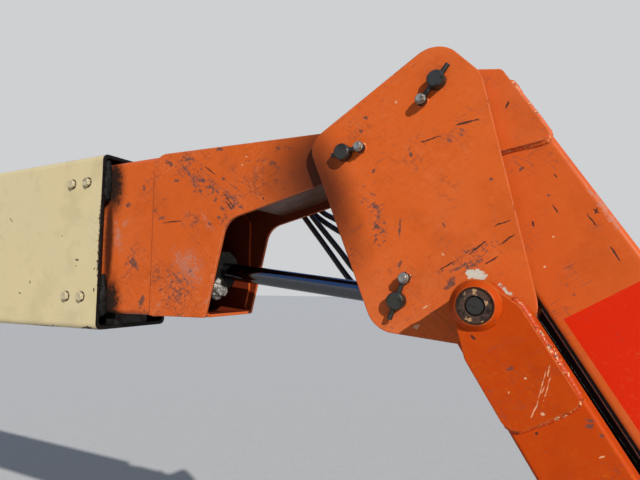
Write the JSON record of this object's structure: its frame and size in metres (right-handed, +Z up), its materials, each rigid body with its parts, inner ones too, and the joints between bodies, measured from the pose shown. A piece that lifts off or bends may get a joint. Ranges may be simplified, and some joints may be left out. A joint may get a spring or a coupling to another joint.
{
  "type": "telescopic boom with articulating jib",
  "caption": "Box-section telescopic boom whose gooseneck carries a tilting knuckle and a parallelogram jib arm with its cylinders and platform bracket.",
  "frame": {"origin": "middle of the boom's rear pivot bore", "axes": "+X forward along the boom, +Y across it, +Z up"},
  "size_m": [5.155, 0.396, 1.7087],
  "materials": {
    "cream_paint": "worn gloss paint",
    "orange_paint": "worn gloss paint",
    "black_paint": "gloss paint",
    "chrome_rod": "polished hard chrome",
    "pin_steel": "weathered plating",
    "rusty_steel": "rusted and greasy",
    "rubber_hose": "ribbed rubber cover",
    "wear_pad": "greasy nylon"
  },
  "bodies": {
    "base": {"base_boom": "cream_paint", "pivot_tube": "cream_paint", "pivot_doublers": "cream_paint", "lift_cylinder_lugs": "cream_paint", "mouth_wear_pads": "wear_pad"},
    "fly": {"fly_boom": "orange_paint", "fly_wear_pads": "wear_pad", "gooseneck_plate_near": "orange_paint", "gooseneck_plate_far": "orange_paint", "gooseneck_cover": "orange_paint", "gooseneck_underside": "orange_paint", "nose_tube": "orange_paint", "level_anchor_pin": "pin_steel", "gooseneck_port_block": "black_paint", "hose_1": "rubber_hose", "hose_2": "rubber_hose", "hose_3": "rubber_hose", "hose_4": "rubber_hose"},
    "knuckle": {"knuckle_plate_near": "orange_paint", "knuckle_plate_far": "orange_paint", "knuckle_web": "orange_paint", "knuckle_pin": "pin_steel", "jib_pin": "pin_steel", "level_pin_ends": "pin_steel", "link_pin": "pin_steel", "pin_keepers": "pin_steel", "knuckle_port_block": "black_paint"},
    "level_barrel": {"level_cylinder_barrel": "black_paint", "level_cylinder_gland": "black_paint"},
    "level_rod": {"level_cylinder_rod": "chrome_rod"},
    "jib": {"jib_box": "orange_paint", "jib_cheeks_near": "orange_paint", "jib_cheeks_far": "orange_paint", "jib_eye_tubes": "orange_paint", "jib_cylinder_lugs": "orange_paint"},
    "links": {"link_tube_near": "orange_paint", "link_tube_far": "orange_paint", "link_ears_near": "orange_paint", "link_ears_far": "orange_paint", "link_eye_tubes": "orange_paint", "link_bushes": "rusty_steel", "link_tie": "orange_paint"},
    "jib_barrel": {"jib_cylinder_barrel": "black_paint", "jib_cylinder_gland": "black_paint"},
    "jib_rod": {"jib_cylinder_rod": "chrome_rod"},
    "bracket": {"bracket_plate_near": "orange_paint", "bracket_plate_far": "orange_paint", "platform_face": "orange_paint", "bracket_jib_pin": "pin_steel", "bracket_link_pins": "pin_steel"}
  },
  "joints": [
    {"name": "fly_extend", "type": "slide", "parent": "base", "child": "fly", "axis": [1, 0, 0], "range_m": [0, 1.8]},
    {"name": "knuckle_tilt", "type": "hinge", "parent": "fly", "child": "knuckle", "pos_m": [3.8895, 0, 0.224], "axis": [0, 1, 0], "range_deg": [-15, 75], "deforming": ["hose_1", "hose_2", "hose_3", "hose_4"]},
    {"name": "level_barrel_swing", "type": "hinge", "parent": "fly", "child": "level_barrel", "pos_m": [3.04, 0, 0.10263], "axis": [0, 1, 0], "range_deg": [-5, 5]},
    {"name": "level_rod_slide", "type": "slide", "parent": "level_barrel", "child": "level_rod", "axis": [0.9918, 0, -0.1276], "range_m": [-0.32, 0.07]},
    {"name": "jib_lift", "type": "hinge", "parent": "knuckle", "child": "jib", "pos_m": [4.0455, 0, 0.3175], "axis": [0, -1, 0], "range_deg": [0, 142]},
    {"name": "link_swing", "type": "hinge", "parent": "knuckle", "child": "links", "pos_m": [4.107, 0, -0.019], "axis": [0, -1, 0], "range_deg": [-1, 143]},
    {"name": "bracket_level", "type": "hinge", "parent": "jib", "child": "bracket", "pos_m": [4.769, 0, -0.93564], "axis": [0, -1, 0], "range_deg": [-143, 1]},
    {"name": "jib_barrel_swing", "type": "hinge", "parent": "knuckle", "child": "jib_barrel", "pos_m": [4.107, 0, -0.019], "axis": [0, -1, 0], "range_deg": [-1, 142]},
    {"name": "jib_rod_slide", "type": "slide", "parent": "jib_barrel", "child": "jib_rod", "axis": [0.5111, 0, -0.8595], "range_m": [-0.005, 0.66]}
  ],
  "couplings": [
    {"joint": "level_barrel_swing", "follows": "knuckle_tilt", "ratio": -0.017},
    {"joint": "level_rod_slide", "follows": "knuckle_tilt", "m_per_rad": -0.23416},
    {"joint": "link_swing", "follows": "jib_lift", "ratio": 1},
    {"joint": "bracket_level", "follows": "jib_lift", "ratio": -1},
    {"joint": "jib_barrel_swing", "follows": "jib_lift", "ratio": 0.99583},
    {"joint": "jib_rod_slide", "follows": "jib_lift", "m_per_rad": 0.26097}
  ]
}
